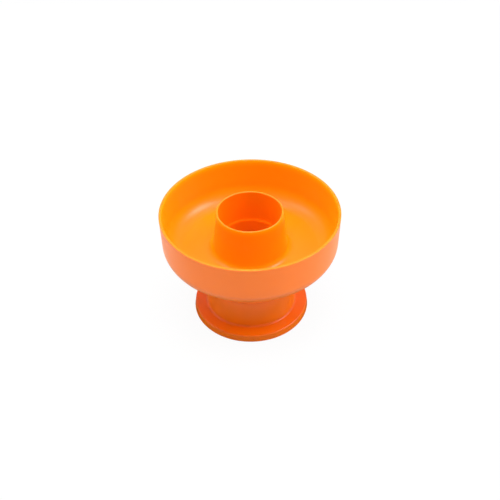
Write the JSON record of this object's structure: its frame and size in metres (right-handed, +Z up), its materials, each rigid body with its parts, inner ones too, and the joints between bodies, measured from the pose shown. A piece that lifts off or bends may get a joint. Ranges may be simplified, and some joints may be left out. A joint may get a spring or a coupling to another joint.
{
  "type": "donut cutter",
  "caption": "Round plastic donut cutter: a ring-shaped cutting bowl with an open centre tube, on a waisted handle with a flat round foot.",
  "frame": {"origin": "middle of the foot's underside, on the surface that the cutter stands on", "axes": "+Z up along the axis to the cutting edges, +X to the right of the picture and +Y away from the camera"},
  "size_m": [0.08, 0.08, 0.055],
  "materials": {
    "orange_plastic": "glossy moulded polypropylene"
  },
  "bodies": {
    "root": {"cutter_body": "orange_plastic", "handle": "orange_plastic"}
  },
  "joints": []
}
